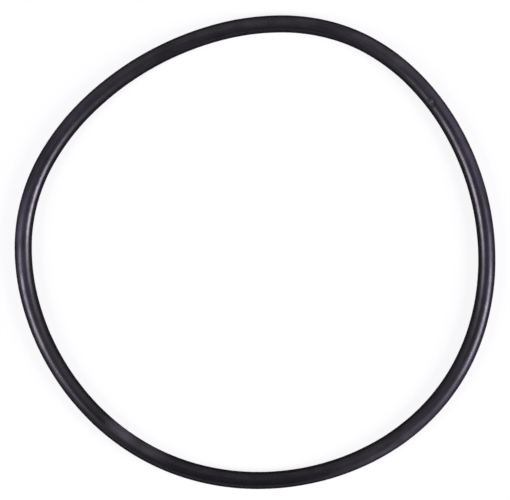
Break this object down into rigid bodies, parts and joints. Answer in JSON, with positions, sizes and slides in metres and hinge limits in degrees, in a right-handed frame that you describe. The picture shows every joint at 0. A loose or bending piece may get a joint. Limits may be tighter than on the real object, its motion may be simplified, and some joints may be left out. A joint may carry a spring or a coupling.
{
  "type": "rubber o-ring",
  "caption": "Round-section rubber sealing ring, lying free and slightly out of round. It seals the gap between a shaft, piston or cap and the groove that it sits in.",
  "frame": {"origin": "middle of the ring, halfway between its outermost points and halfway up its section", "axes": "+Z along the ring's axis, away from the surface it lies on; +X to the right and +Y to the top as the picture shows the ring"},
  "size_m": [0.0996, 0.0982, 0.0036],
  "materials": {
    "rubber": "satin black moulded rubber"
  },
  "bodies": {
    "root": {"o_ring": "rubber"}
  },
  "joints": []
}
